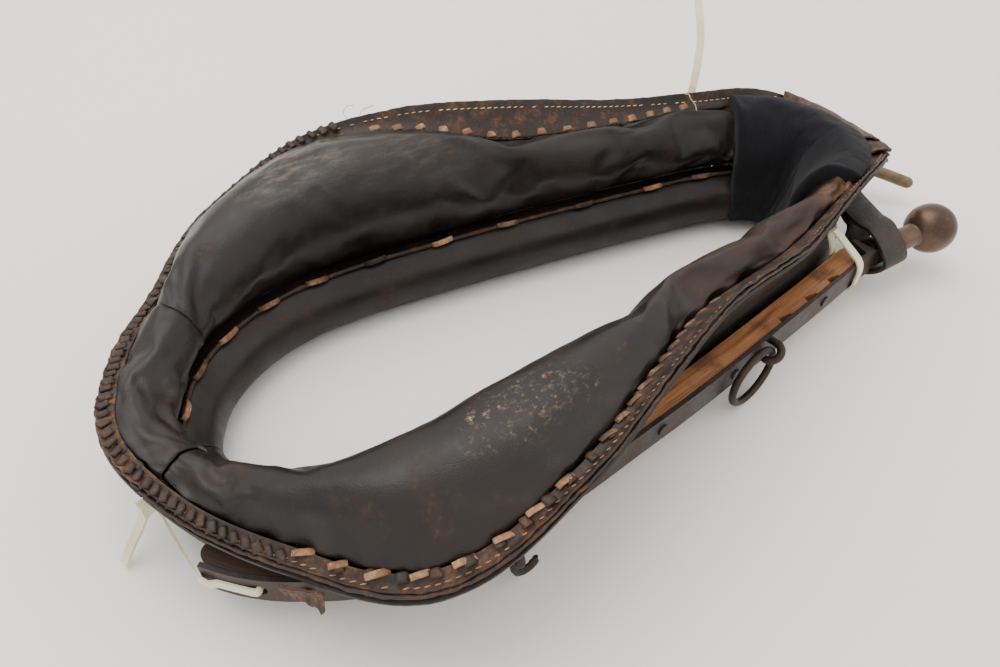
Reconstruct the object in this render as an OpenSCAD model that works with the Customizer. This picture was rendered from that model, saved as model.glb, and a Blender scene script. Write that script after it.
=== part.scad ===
// Draught-horse neck collar with its pair of hames, lying on its front.
// X runs from the throat (-) to the top of the neck (+), Z points up,
// and the side that lies against the horse faces up.  All sizes in mm.

/* [Collar] */
// Scale of the neck opening and everything around it, along the collar
length_scale = 1; // [0.9:0.02:1.1]
// Radius of the hard front roll
roll_r = 27; // [22:1:28]
// Leather thickness of the covers
leather = 3; // [2:0.5:4]
// Height of the fattest part of the body padding above the floor
pad_height = 141; // [125:1:150]
// Thickness of each rim ply
ply = 3.2; // [2:0.2:4]

/* [Hames] */
// Height of the hame bar
hame_height = 25; // [20:1:27]
// Thickness of the ash wood of the hame
wood_thick = 18; // [14:1:18]
// Thickness of the iron plate on the outer face
plate_thick = 3.5; // [2.5:0.5:4]
// Radius of the ball at the top of the hame
ball_r = 22.5; // [18:0.5:26]
// Outside radius of the rein ring
ring_r = 27.5; // [24:0.5:28]
// Radius of the iron rod that the ring and the staples are made of
rod_r = 3; // [2.5:0.1:3]

/* [Straps] */
// Width of the hame strap
strap_w = 28; // [26:1:32]
// Width of the nylon ties
tie_w = 7.5; // [5:0.5:8]

/* [Hidden] */
$fn = 48;
gap = 0.4;
shift_x = -5.6;
hame_z = 38.5;
tie_thick = 1.8;
strap_thick = 3.5;

black_leather = [0.10, 0.09, 0.09];
brown_leather = [0.30, 0.20, 0.13];
tan_leather = [0.62, 0.44, 0.28];
straw = [0.72, 0.62, 0.38];
iron = [0.28, 0.25, 0.23];
bronze = [0.38, 0.28, 0.18];
ash = [0.66, 0.40, 0.20];
nylon = [0.85, 0.83, 0.66];

// One row per station round half of the collar, from the throat to the top:
// seam x, seam y, rim out, rim height, lacing out, lacing height,
// crest height, crest out, inner bulge
half_rows = [
  [-328,   0,  40,  95, 28,  91,  94, 12,  7],
  [-309,  52,  43,  88, 31,  85,  97, 14,  8],
  [-270,  89,  58,  81, 46,  82, 111, 23, 10],
  [-215, 111,  95,  91, 83,  92, 128, 36, 13],
  [-150, 114,  94, 127, 82, 122, 141, 38, 14],
  [ -70, 105,  76, 144, 60, 128, 137, 26, 13],
  [  14,  93,  56, 142, 34, 114, 127, 12, 11],
  [ 117,  75,  48, 124, 31, 105, 121, 10, 10],
  [ 190,  61,  35, 122, 25, 108, 118,  9,  9],
  [ 238,  42,  38, 119, 26, 106, 114,  9,  9],
  [ 259,  19,  60,  98, 32, 100, 111, 10,  8],
  [ 264,   0,  80,  78, 36,  96, 109, 10,  8]];
top_s = len(half_rows) - 1;
loop_n = 2 * top_s;

// Small helpers
// A row of the whole loop: the far side as listed, the near side mirrored
function row(i) = let(k = (i % loop_n + loop_n) % loop_n)
  k <= top_s ? half_rows[k]
             : [for (j = [0:8]) j == 1 ? -half_rows[loop_n - k][1] : half_rows[loop_n - k][j]];
// Smooth curve through four neighbours
function blend4(a, b, c, d, t) =
  0.5 * (2 * b + (c - a) * t + (2 * a - 5 * b + 4 * c - d) * t * t
         + (3 * b - a - 3 * c + d) * t * t * t);
function station(s) = let(i = floor(s))
  blend4(row(i - 1), row(i), row(i + 1), row(i + 2), s - i);
function seam_xy(s) = let(r = station(s)) [r[0] * length_scale + shift_x, r[1]];
function unit(v) = v / norm(v);
// Outward direction in plan at a station
function outward(s) = let(d = unit(seam_xy(s + 0.02) - seam_xy(s - 0.02))) [-d[1], d[0]];
// A point given by its distance out from the seam and its height
function spot(s, u, z) = let(p = seam_xy(s) + outward(s) * u) [p[0], p[1], z];
// Closed smooth outline through a few points, n steps between each pair
function smooth_loop(p, n) = let(m = len(p))
  [for (i = [0:m - 1]) for (k = [0:n - 1])
     blend4(p[(i + m - 1) % m], p[i], p[(i + 1) % m], p[(i + 2) % m], k / n)];
// Open smooth line through a few points
function smooth_line(p, n) = let(m = len(p) - 1)
  [for (i = [0:m - 1]) for (k = [0:(i == m - 1 ? n : n - 1)])
     blend4(p[max(i - 1, 0)], p[i], p[i + 1], p[min(i + 2, m)], k / n)];
// The outline moved inwards by d (outline runs clockwise seen with u right, z up)
function inset(p, d) = let(m = len(p))
  [for (i = [0:m - 1]) let(t = unit(p[(i + 1) % m] - p[(i + m - 1) % m]))
     p[i] + d * [t[1], -t[0]]];
function line_normal(p, i) = let(m = len(p) - 1,
  t = unit(p[min(i + 1, m)] - p[max(i - 1, 0)])) [t[1], -t[0]];
// A strip outline between a line and the same line moved by d
function strip(p, d) = concat(p,
  [for (i = [len(p) - 1:-1:0]) p[i] + d * line_normal(p, i)]);
function steps(a, b, n) = [for (i = [0:n]) a + (b - a) * i / n];

// Solid swept through rings of points; every ring has the same count.  The two
// halves of a ring are split along matching diagonals, so a thin strip keeps its wall
module skin_solid(rings) {
  n = len(rings);
  m = len(rings[0]);
  polyhedron(
    points = [for (r = rings) each r],
    faces = concat(
      [[for (k = [m - 1:-1:0]) k]],
      [[for (k = [0:m - 1]) (n - 1) * m + k]],
      [for (i = [0:n - 2]) for (k = [0:m - 1])
        let(a = i * m + k, b = i * m + (k + 1) % m, c = a + m, d = b + m) each
        (k < m / 2 ? [[a, b, c], [b, d, c]] : [[a, b, d], [a, d, c]])]));
}
// Endless solid ring
module skin_ring(rings) {
  n = len(rings);
  m = len(rings[0]);
  polyhedron(
    points = [for (r = rings) each r],
    faces = [for (i = [0:n - 1]) for (k = [0:m - 1]) let(j = (i + 1) % n) each
      [[i * m + k, i * m + (k + 1) % m, j * m + k],
       [i * m + (k + 1) % m, j * m + (k + 1) % m, j * m + k]]]);
}
// Open-ended sleeve with a wall between outer and inner rings
module skin_sleeve(outer, inner) {
  n = len(outer);
  m = len(outer[0]);
  b = n * m;
  polyhedron(
    points = concat([for (r = outer) each r], [for (r = inner) each r]),
    faces = concat(
      [for (i = [0:n - 2]) for (k = [0:m - 1]) each
        [[i * m + k, i * m + (k + 1) % m, (i + 1) * m + k],
         [i * m + (k + 1) % m, (i + 1) * m + (k + 1) % m, (i + 1) * m + k],
         [b + i * m + k, b + (i + 1) * m + k, b + i * m + (k + 1) % m],
         [b + i * m + (k + 1) % m, b + (i + 1) * m + k, b + (i + 1) * m + (k + 1) % m]]],
      [for (k = [0:m - 1]) each
        [[k, b + k, (k + 1) % m], [(k + 1) % m, b + k, b + (k + 1) % m]]],
      [for (k = [0:m - 1]) let(o = (n - 1) * m) each
        [[o + k, o + (k + 1) % m, b + o + k],
         [o + (k + 1) % m, b + o + (k + 1) % m, b + o + k]]]));
}
// Outline of the body padding at a station, as (out, height) pairs
function body_outline(s, d) = let(r = station(s), h = r[6] * pad_height / 141,
  low = 2 * roll_r + 4,
  p = [[3, low],
       [-r[8], low + 0.42 * (h - low)],
       [0.2 * r[7] - 0.25 * r[8], h - 0.16 * (h - low)],
       [r[7], h],
       [0.62 * r[4] + 0.38 * r[7], 0.55 * h + 0.45 * r[5]],
       [r[4], r[5]],
       [0.66 * r[4] + 3, 0.35 * r[5] + 0.65 * low],
       [17, low]])
  inset(smooth_loop(p, 2), d);
function body_ring(s, d) = [for (q = body_outline(s, d)) spot(s, q[0], q[1])];
function roll_ring(s, r) = [for (k = [0:15]) let(a = -k * 22.5)
  spot(s, 1 + r * cos(a), roll_r + r * sin(a))];
// Flange ply from the lacing to the rim
function flange_line(s) = let(r = station(s))
  [[r[4] + 3, r[5] + 3],
   [0.5 * (r[4] + r[2]) + 1, 0.5 * (r[5] + r[3]) - 0.6],
   [r[2] - 0.5, r[3]]];
function flange_ring(s) = [for (q = strip(flange_line(s), ply)) spot(s, q[0], q[1])];
// Side piece: the leather that lines the hame groove, from rim to front roll
function side_line(s) = let(r = station(s), low = 2 * roll_r + 4)
  [[r[2] + 2, r[3] - ply - 6.4],
   [r[4] + 3.4, r[5] - ply - 8],
   [0.66 * r[4] + 7.4, 0.35 * r[5] + 0.65 * low - 6.6],
   [0.33 * r[4] + 14, low - 5.6],
   [15, low - 4.8]];
function side_ring(s) = [for (q = strip(side_line(s), 2.4)) spot(s, q[0], q[1])];

// Collar
near_cut = loop_n - 0.6;
far_cut = 1.6;
seam_gap = 0.012;
module body_cover(a, b, n) {
  s = steps(a, b, n);
  color(black_leather)
    skin_sleeve([for (t = s) body_ring(t, 0)], [for (t = s) body_ring(t, leather)]);
}
module body_far() { body_cover(far_cut + seam_gap, top_s - seam_gap, 22); }
module body_near() { body_cover(top_s + seam_gap, near_cut - seam_gap, 23); }
module body_throat() { body_cover(near_cut + seam_gap - loop_n, far_cut - seam_gap, 8); }
module body_stuffing() {
  color(straw)
    skin_ring([for (t = steps(0, loop_n - 0.5, 43)) body_ring(t, leather + 2.6)]);
}
module roll_cover(a, b) {
  s = steps(a, b, 26);
  color(black_leather)
    skin_sleeve([for (t = s) roll_ring(t, roll_r)], [for (t = s) roll_ring(t, roll_r - leather)]);
}
module roll_far() { roll_cover(seam_gap, top_s - seam_gap); }
module roll_near() { roll_cover(top_s + seam_gap, loop_n - seam_gap); }
module roll_stuffing() {
  color(straw)
    skin_ring([for (t = steps(0, loop_n - 0.5, 43)) roll_ring(t, roll_r - leather - 1.5)]);
}
module rim_flange(a, b, n) {
  color(brown_leather) skin_solid([for (t = steps(a, b, n)) flange_ring(t)]);
}
module flange_far() { rim_flange(far_cut + seam_gap, top_s - seam_gap, 22); }
module flange_near() {
  mirror([0, 1, 0]) rim_flange(loop_n - near_cut + seam_gap, top_s - seam_gap, 23);
}
module flange_throat() { rim_flange(near_cut + seam_gap - loop_n, far_cut - seam_gap, 9); }
module side_piece(a, b, n) {
  color(brown_leather) skin_solid([for (t = steps(a, b, n)) side_ring(t)]);
}
module side_far() {
  mirror([0, 1, 0]) side_piece(top_s + seam_gap, loop_n - far_cut - seam_gap, 24);
}
module side_near() { side_piece(top_s + seam_gap, near_cut - seam_gap, 24); }
module side_throat() { side_piece(near_cut + seam_gap - loop_n, far_cut - seam_gap, 9); }

// A small leather thong laid along the collar at a station
module thong(s, u, z, long, wide, lean) {
  p = spot(s, u, z);
  d = outward(s);
  translate(p) rotate([0, 0, atan2(d[1], d[0])]) rotate([0, -lean, 0])
    cube([wide, long, 2.2], center = true);
}
module rim_thongs(list) {
  color(tan_leather)
    for (s = list) {
      p = flange_line(s);
      t = unit(p[1] - p[0]);
      q = p[0] + t * 2.8 + [-t[1], t[0]] * 5.6;
      thong(s, q[0], q[1], 9, 5, atan2(t[1], t[0]));
    }
}
function thong_row(a, b, n) = [for (i = [0:n - 1]) a + (b - a) * (i + 0.5) / n];
module lacing_far() { rim_thongs(thong_row(3, 8.6, 18)); }
module lacing_near() { rim_thongs(thong_row(loop_n - 7.4, loop_n - 1.2, 20)); }
module lacing_throat() { rim_thongs(thong_row(-0.4, 1.5, 8)); }
module seam_thongs() {
  color(tan_leather)
    for (s = concat(thong_row(0.2, 8.4, 11), thong_row(loop_n - 8.4, loop_n - 0.2, 11)))
      thong(s, -8.2, 2 * roll_r + 2.2, 17, 2.4, 0);
}

// Black pad folded over the inside of the top
function pad_line(s) = let(r = station(s), h = r[6] * pad_height / 141)
  smooth_line([[-roll_r, 12], [-roll_r - 2.6, roll_r + 4], [-21, 2 * roll_r + 2],
               [-r[8] - 7, 86], [-4, h - 3], [r[7] + 2, h + 4.5], [r[4] + 6, r[5] + 10]], 2);
module neck_pad() {
  color([0.03, 0.03, 0.04])
    skin_solid([for (t = steps(8.55, loop_n - 8.55, 22))
      [for (q = strip(pad_line(t), 3)) spot(t, q[0], q[1])]]);
}
// Folded leather that covers the outside of the top, behind the pad
function cap_line(s) = let(r = station(s))
  [[r[2] - 1, r[3] + 3.5],
   [0.55 * r[4] + 0.45 * r[2], 0.55 * r[5] + 0.45 * r[3] + 3]];
module cap_leather() {
  color(brown_leather)
    skin_solid([for (t = steps(9.7, loop_n - 9.9, 12))
      [for (q = strip(cap_line(t), 4)) spot(t, q[0], q[1])]]);
}

// Hames
// Centre line of the hame wood in plan, from the throat end to the top, for a
// hame on the far side; the near one is its mirror image, sprung out at the top
groove = [[-336, 83], [-317, 104], [-291, 123], [-248, 144], [-180, 154], [-116, 152],
          [-45, 143], [24, 133.5], [110, 118.5]];
near_top = [[180, 106], [236, 95]];
far_top = [[180, 103.5], [224, 93]];
line_steps = 4;
function hame_line(near) = smooth_line(
  [for (q = concat(groove, near ? near_top : far_top)) [q[0] * length_scale + shift_x, q[1]]],
  line_steps);
function line_at(p, i) = p[floor(i)] + (p[min(floor(i) + 1, len(p) - 1)] - p[floor(i)])
  * (i - floor(i));
function out_at(p, i) = -line_normal(p, round(i));
module side_of(near) {
  if (near) mirror([0, 1, 0]) children();
  else children();
}
// Upright band beside the hame line, between two distances from it
function band(p, a, b, i0, i1) = concat(
  [for (i = [i0:i1]) p[i] + a * out_at(p, i)],
  [for (i = [i1:-1:i0]) p[i] + b * out_at(p, i)]);
// Frame on the hame: x down, y towards the throat, z outwards from its centre line
module on_hame(near, i, z, lift) {
  p = hame_line(near);
  d = out_at(p, i);
  q = line_at(p, i) + d * lift;
  translate([q[0], q[1], z]) rotate([0, 0, atan2(d[1], d[0])]) rotate([0, 90, 0]) children();
}
half_wood = wood_thick / 2;
face_out = half_wood + gap + plate_thick;
rivet_spots = [8.4, 12.6, 21, 25, 29.4, 35.6];
rivet_r = 3;
end_hole = 5.2;
ring_spot = 31;
ring_z = hame_z + 4.5;
ring_turn = 35;
hook_spot = 16.6;
staple_in = 4.6;
staple_depth = 12.5;
eye_lift = 6.5;
staple_reach = staple_in + rod_r;
// Legs of a staple: turn 0 sets them along the hame, 90 upright
module staple_legs(near, i, z, turn, slack) {
  on_hame(near, i, z, face_out) rotate([0, 0, 90 - turn])
    for (k = [-1, 1])
      translate([k * staple_reach, 0, -staple_depth - slack])
        cylinder(r = rod_r + slack, h = staple_depth + eye_lift + 1.2 + slack);
}
module hame_holes(near) {
  for (i = rivet_spots)
    on_hame(near, i, hame_z, -20) cylinder(r = rivet_r + 0.05, h = 40);
  on_hame(near, end_hole, hame_z, -20) cylinder(r = 5, h = 40);
  staple_legs(near, ring_spot, ring_z, ring_turn, 0.05);
  staple_legs(near, hook_spot, hame_z, 0, 0.05);
}
module hame_wood(near) {
  p = hame_line(near);
  n = len(p) - 1;
  color(ash) side_of(near) difference() {
    translate([0, 0, hame_z - hame_height / 2 + 0.5])
      linear_extrude(hame_height - 1)
        difference() {
          union() {
            polygon(band(p, -half_wood, half_wood, 1, n - 1));
            translate(p[n - 1]) circle(half_wood);
            translate(p[1]) circle(half_wood);
          }
          if (near)
            for (i = [32.6, 34.6, 36.6])
              translate(line_at(p, i) + out_at(p, i) * (half_wood + 1))
                rotate(8) square([13, 9], center = true);
        }
    hame_holes(near);
  }
}
// Round spigot at the top of the iron; z of its frame runs out along it
spigot_r = 6;
spigot_long = 24;
function tip_xy(near) = let(p = hame_line(near), n = len(p) - 1)
  p[n] + out_at(p, n) * 1.5 + [14, -1];
module at_tip(near) {
  q = tip_xy(near);
  translate([q[0], q[1], hame_z]) rotate([0, near ? -4.5 : 0, near ? 8 : 0])
    rotate([0, 90, 0]) children();
}
module hame_plate(near) {
  p = hame_line(near);
  n = len(p) - 1;
  a = half_wood + gap;
  b = a + plate_thick;
  d = out_at(p, n);
  color(iron) side_of(near) difference() {
    union() {
      translate([0, 0, hame_z - hame_height / 2])
        linear_extrude(hame_height)
          union() {
            polygon(band(p, a, b, 0, n));
            polygon([p[n - 1] + out_at(p, n - 1) * b, p[n] + d * b, p[n] + d * b + [13, -1],
                     p[n] - d * 9 + [13, -1], p[n] - d * 9 + [9, 0], p[n] + d * a + [3, 0],
                     p[n - 1] + out_at(p, n - 1) * a]);
          }
      at_tip(near) translate([0, 0, -3]) cylinder(r = spigot_r, h = spigot_long);
    }
    hame_holes(near);
  }
}
module hame_rivets(near) {
  long = wood_thick + gap + plate_thick;
  color(iron) side_of(near)
    for (i = rivet_spots)
      on_hame(near, i, hame_z, -half_wood) {
        translate([0, 0, -0.3]) cylinder(r = rivet_r, h = long + 0.6);
        translate([0, 0, long + 0.3]) cylinder(r = 4.6, h = 1.6);
        translate([0, 0, -1.1]) cylinder(r = 4.2, h = 0.8);
      }
}
// Ball with a socketed neck on the spigot of the near hame
ball_reach = 76;
module hame_ball() {
  color(bronze) mirror([0, 1, 0]) at_tip(true)
    difference() {
      union() {
        translate([0, 0, 4])
          rotate_extrude()
            polygon([[0, 0], [12.2, 0], [12.8, 5], [11.8, 18], [10.4, 34], [10.2, 50],
                     [10.8, ball_reach - ball_r - 1], [0, ball_reach - ball_r + 3]]);
        translate([0, 0, ball_reach]) sphere(r = ball_r);
      }
      cylinder(r = spigot_r + 0.05, h = spigot_long + 1);
    }
}
// Far hame: a socket on the spigot and a plain bent tip in it, its ball missing
peg_path = [[25, 0, 0], [37, 0, 0], [43, -1, 0], [64, -14.5, -1], [98, -48, -3], [130, -86, -7],
            [158, -125, -15]];
peg_r = 5.8;
socket_long = 33;
function path_ring(p, i, r, m) = let(n = len(p) - 1,
  t = unit(p[min(i + 1, n)] - p[max(i - 1, 0)]),
  a = unit(cross([0, 0, 1], t)), b = cross(t, a))
  [for (k = [0:m - 1]) p[i] + r * (cos(k * 360 / m) * a - sin(k * 360 / m) * b)];
function peg_line() = let(q = tip_xy(false))
  [for (v = smooth_line(peg_path, 4)) [q[0], q[1], hame_z] + v];
module peg_socket() {
  color(iron) at_tip(false) translate([0, 0, 3]) difference() {
    cylinder(r = 9, h = socket_long);
    translate([0, 0, -1]) cylinder(r = spigot_r + 0.05, h = socket_long + 2);
  }
}
module hame_peg() {
  p = peg_line();
  n = len(p) - 1;
  t = unit(p[n] - p[n - 1]);
  color(bronze)
    skin_solid(concat([for (i = [0:n]) path_ring(p, i, peg_r, 14)],
      [for (a = [30, 60, 80])
        [for (q = path_ring(p, n, peg_r * cos(a), 14)) q + t * peg_r * sin(a)]]));
}
// Thin twine wound on the bare tip
module peg_twine() {
  p = peg_line();
  color(tan_leather)
    for (k = [0:2]) {
      i = 15;
      t = unit(p[i + 1] - p[i]);
      translate(p[i] + t * 2.4 * k) rotate([0, acos(t[2]), atan2(t[1], t[0])])
        rotate_extrude() translate([peg_r + 1.35, 0]) circle(0.9);
    }
}

// Loose iron
module staple(near, i, z, turn) {
  color(iron) side_of(near) {
    staple_legs(near, i, z, turn, 0);
    on_hame(near, i, z, face_out + eye_lift) rotate([0, 0, 90 - turn]) rotate([90, 0, 0])
      rotate_extrude(angle = 180) translate([staple_reach, 0]) circle(rod_r + 0.25);
  }
}
ring_lift = 7;
ring_mid = ring_r - rod_r;
module rein_ring(near) {
  color(iron) side_of(near)
    on_hame(near, ring_spot, ring_z, face_out + ring_lift) rotate([0, 0, 90 - ring_turn])
      translate([ring_mid, 0, 0])
        rotate_extrude() translate([ring_mid, 0]) circle(rod_r);
}
// Trace hook hanging in the lower staple
hook_eye = 7.4;
hook_rod = 2.7;
bar_lift = eye_lift + staple_reach;
hook_path = [[8, 0, 0], [16, 1, 0], [23, -1, 0], [28, -7, 0], [25.5, -14, 0], [18, -16, 0]];
function hook_ring(p, i, r, flat) = let(n = len(p) - 1,
  t = unit(p[min(i + 1, n)] - p[max(i - 1, 0)]), a = [-t[1], t[0], 0])
  [for (k = [0:9]) p[i] + r * cos(k * 36) * a - [0, 0, r * flat * sin(k * 36)]];
module tug_hook(near) {
  p = smooth_line(hook_path, 3);
  n = len(p) - 1;
  color(iron) side_of(near)
    on_hame(near, hook_spot, hame_z, face_out + bar_lift) translate([1.2, 0, 0]) {
      rotate([90, 0, 0]) rotate_extrude() translate([hook_eye, 0]) circle(hook_rod);
      skin_solid([for (i = [0:n])
        hook_ring(p, i, i < 7 ? hook_rod : i < n - 1 ? 4 : 2.2, i < 7 ? 1 : 0.6)]);
    }
}

// Straps and ties
// Flat band along a path; its width stays close to the direction w
function flat_ring(p, i, closed, w, wide, thick) = let(n = len(p),
  a = closed ? p[(i + n - 1) % n] : p[max(i - 1, 0)],
  c = closed ? p[(i + 1) % n] : p[min(i + 1, n - 1)],
  t = unit(c - a), x = unit(w - (w * t) * t), y = cross(t, x))
  [for (k = [[-1, -1], [-1, 1], [1, 1], [1, -1]])
     p[i] + k[0] * x * wide / 2 + k[1] * y * thick / 2];
strap_points = [[303.5, -12, 44.2], [291, -42, 45], [277, -67, 43], [266, -78, 31], [266, -98, 20],
  [266, -118, 40], [266, -98, 60], [274, -74, 56], [290, -45, 50], [303.5, -15, 48.8],
  [306, 0, 48.8], [303.5, 15, 48.8], [290, 45, 49.8], [271, 68, 55.6], [264, 92, 54.6],
  [264, 108.5, 38.5], [264, 92, 22.4], [265, 75.5, 36], [275, 62, 43.5], [290, 44, 45],
  [303.5, 13, 44.2]];
module hame_strap() {
  p = [for (q = smooth_line(strap_points, 3)) [q[0] * length_scale + shift_x, q[1], q[2]]];
  color(black_leather)
    skin_solid([for (i = [0:len(p) - 1]) flat_ring(p, i, false, [1, 0, 0], strap_w, strap_thick)]);
}
// Buckle under the middle of the strap: frame with a round bar, and its tongue
buckle_z = 39;
buckle_x = 310;
buckle_bar = 9;
bar_r = 1.8;
module buckle_place() {
  translate([buckle_x * length_scale + shift_x, 0, buckle_z]) children();
}
module strap_buckle() {
  color(iron) buckle_place() {
    for (k = [-1, 1])
      translate([k * (strap_w / 2 + 2.5), 0, 0]) cube([3, 2 * buckle_bar + 4, 3.6], center = true);
    translate([0, -buckle_bar, 0]) cube([strap_w + 4, 4, 3.6], center = true);
    translate([-strap_w / 2 - 2.5, buckle_bar, 0]) rotate([0, 90, 0])
      cylinder(r = bar_r, h = strap_w + 5);
  }
}
module strap_tongue() {
  color(iron) buckle_place() difference() {
    union() {
      translate([-2.5, buckle_bar, 0]) rotate([0, 90, 0]) cylinder(r = 3.4, h = 5);
      translate([-1.5, -buckle_bar + 2.6, -1.5]) cube([3, 2 * buckle_bar - 4.2, 3]);
    }
    translate([-5, buckle_bar, 0]) rotate([0, 90, 0]) cylinder(r = bar_r + 0.06, h = 10);
  }
}
module tie_band(p, w) {
  color(nylon)
    skin_ring([for (i = [0:len(p) - 1]) flat_ring(p, i, true, w, tie_w, tie_thick)]);
}
module tie_tail(p, w) {
  color(nylon)
    skin_solid([for (i = [0:len(p) - 1]) flat_ring(p, i, false, w, tie_w, tie_thick)]);
}
tie_head = [9.5, 8, 10];
low_head = spot(-0.28, 36, hame_z + 2);
// Half of the low tie: from the middle of the throat, in through the end hole and back
function low_half() = let(p = hame_line(false), c = line_at(p, end_hole),
  d = out_at(p, end_hole), v = [d[1], -d[0]], e = line_at(p, 2), f = out_at(p, 2))
  [for (q = [e - f * 10.4, c - v * 4.5 - d * 10.5, c - v * 0.6 - d * 8.6, c - d * 4, c + d * 9,
             c - v * 0.6 + d * 13.6, c - v * 5 + d * 14.6, e + f * 14.2,
             line_at(p, 0) + out_at(p, 0) * 15]) [q[0], q[1], hame_z]];
module tie_low() {
  half = low_half();
  n = len(half) - 1;
  turns = concat([spot(0, 28.6, hame_z), spot(0.5, 28.6, hame_z)], half,
    [spot(0.5, 34, hame_z), spot(0, 31.6, hame_z), spot(-0.5, 34, hame_z)],
    [for (k = [n:-1:0]) [half[k][0], -half[k][1], hame_z]], [spot(-0.5, 28.6, hame_z)]);
  tie_band(smooth_loop(turns, 2), [0, 0, 1]);
  color(nylon) translate(low_head) rotate([0, 0, 15]) cube(tie_head, center = true);
  tie_tail([for (q = smooth_line([[-1, 0, -2], [-8, -2, -12], [-18, -4, -24], [-28.4, -7, -37.6]], 3))
    low_head + q], [0.3, -1, 0]);
}
// Loop round the hame bar, given as distances out and heights
module tie_round(near, i, turns, w) {
  p = hame_line(near);
  c = line_at(p, i);
  d = out_at(p, i);
  side_of(near) tie_band([for (q = smooth_loop(turns, 2))
    [c[0] + d[0] * q[0], c[1] + d[1] * q[0], q[1]]], [d[1], -d[0], 0]);
}
far_tie_spot = 38.6;
module tie_top() {
  tie_round(false, far_tie_spot, [[-10.3, 38.5], [-10.6, 52.4], [0, 54.4], [14.8, 52.6],
    [15.4, 38.5], [14.8, 24.2], [0, 22.4], [-10, 23.4]]);
  p = hame_line(false);
  c = line_at(p, far_tie_spot);
  color(nylon) translate([c[0], c[1] + 19, 48]) cube([9, 7, 10], center = true);
  tie_tail([for (q = smooth_line([[0, 20, 50], [6, 24, 74], [22, 32, 102], [48, 58, 134],
    [74, 100, 164]], 3)) [c[0] + q[0], c[1] + q[1], q[2]]], [1, -0.4, 0]);
}
module tie_near() {
  tie_round(true, 38.6, [[-11.6, 38.5], [-12.6, 54], [-19, 66], [-16, 71], [-4, 64], [11, 55],
    [15.6, 47], [15.8, 36], [13.6, 24.6], [0, 23], [-11, 25]]);
}
// Torn end of leather hanging on edge below the near rim
module leather_tab() {
  color(brown_leather) translate(spot(loop_n - 2.12, 68.5, 64)) rotate([0, 0, -51])
    cube([27, 2.6, 19], center = true);
}

// Parts list
body_throat();
body_far();
body_near();
body_stuffing();
roll_far();
roll_near();
roll_stuffing();
flange_far();
flange_near();
flange_throat();
side_far();
side_near();
side_throat();
lacing_far();
lacing_near();
lacing_throat();
seam_thongs();
neck_pad();
cap_leather();
leather_tab();
hame_wood(true);  // wood_near
hame_wood(false);  // wood_far
hame_plate(true);  // plate_near
hame_plate(false);  // plate_far
hame_rivets(true);  // rivets_near
hame_rivets(false);  // rivets_far
hame_ball();
peg_socket();
hame_peg();
peg_twine();
staple(true, ring_spot, ring_z, ring_turn);  // ring_staple_near
staple(false, ring_spot, ring_z, ring_turn);  // ring_staple_far
rein_ring(true);  // rein_ring_near
rein_ring(false);  // rein_ring_far
staple(true, hook_spot, hame_z, 0);  // hook_staple_near
staple(false, hook_spot, hame_z, 0);  // hook_staple_far
tug_hook(true);  // tug_hook_near
tug_hook(false);  // tug_hook_far
hame_strap();
strap_buckle();
strap_tongue();
tie_low();
tie_top();
tie_near();
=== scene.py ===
import math

import bpy
from mathutils import Matrix, Vector, noise


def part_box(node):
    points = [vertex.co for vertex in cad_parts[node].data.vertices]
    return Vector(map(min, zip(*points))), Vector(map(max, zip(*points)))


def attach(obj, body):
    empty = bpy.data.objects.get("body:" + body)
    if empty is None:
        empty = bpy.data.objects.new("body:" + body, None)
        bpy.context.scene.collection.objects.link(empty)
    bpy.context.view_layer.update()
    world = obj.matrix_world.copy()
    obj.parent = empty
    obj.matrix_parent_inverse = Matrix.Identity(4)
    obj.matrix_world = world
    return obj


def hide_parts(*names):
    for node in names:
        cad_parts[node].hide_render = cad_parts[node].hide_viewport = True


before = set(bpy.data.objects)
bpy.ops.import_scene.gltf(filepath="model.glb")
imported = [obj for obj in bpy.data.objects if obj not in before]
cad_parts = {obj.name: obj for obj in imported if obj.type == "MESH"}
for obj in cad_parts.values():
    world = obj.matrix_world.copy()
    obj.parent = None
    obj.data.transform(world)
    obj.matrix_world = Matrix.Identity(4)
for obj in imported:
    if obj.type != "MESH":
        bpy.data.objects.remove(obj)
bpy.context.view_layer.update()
bpy.ops.object.select_all(action="DESELECT")
mm = 0.001

# camera
shot = {"azimuth": -31.91, "elevation": 45.35, "distance": 0.6412, "lens": 30,
        "target": (-0.0914, -0.0268, 0.060)}


def makeCamera(s):
    a, e = math.radians(s["azimuth"]), math.radians(s["elevation"])
    back = Vector((math.sin(a) * math.cos(e), -math.cos(a) * math.cos(e), math.sin(e)))
    bpy.ops.object.camera_add(location=Vector(s["target"]) + back * s["distance"])
    cam = bpy.context.object
    cam.name = "camera"
    cam.data.lens = s["lens"]
    cam.data.sensor_width = 36
    cam.data.clip_start, cam.data.clip_end = 0.01, 50
    cam.rotation_mode = "QUATERNION"
    cam.rotation_quaternion = (-back).to_track_quat("-Z", "Y")
    bpy.context.scene.camera = cam


makeCamera(shot)
print("camera in place")


# shader expressions
class Sock:
    def __init__(self, tree, out):
        self.tree, self.out = tree, out

    def calc(self, op, *args):
        n = self.tree.nodes.new("ShaderNodeMath")
        n.operation = op
        for k, v in enumerate(args):
            if isinstance(v, Sock):
                self.tree.links.new(v.out, n.inputs[k])
            else:
                n.inputs[k].default_value = v
        return Sock(self.tree, n.outputs[0])

    def __add__(self, o):
        return self.calc("ADD", self, o)

    def __radd__(self, o):
        return self.calc("ADD", o, self)

    def __rsub__(self, o):
        return self.calc("SUBTRACT", o, self)

    def __mul__(self, o):
        return self.calc("MULTIPLY", self, o)

    def __rmul__(self, o):
        return self.calc("MULTIPLY", o, self)

    def clip(self):
        return self.calc("MINIMUM", self.calc("MAXIMUM", self, 0.0), 1.0)


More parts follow.
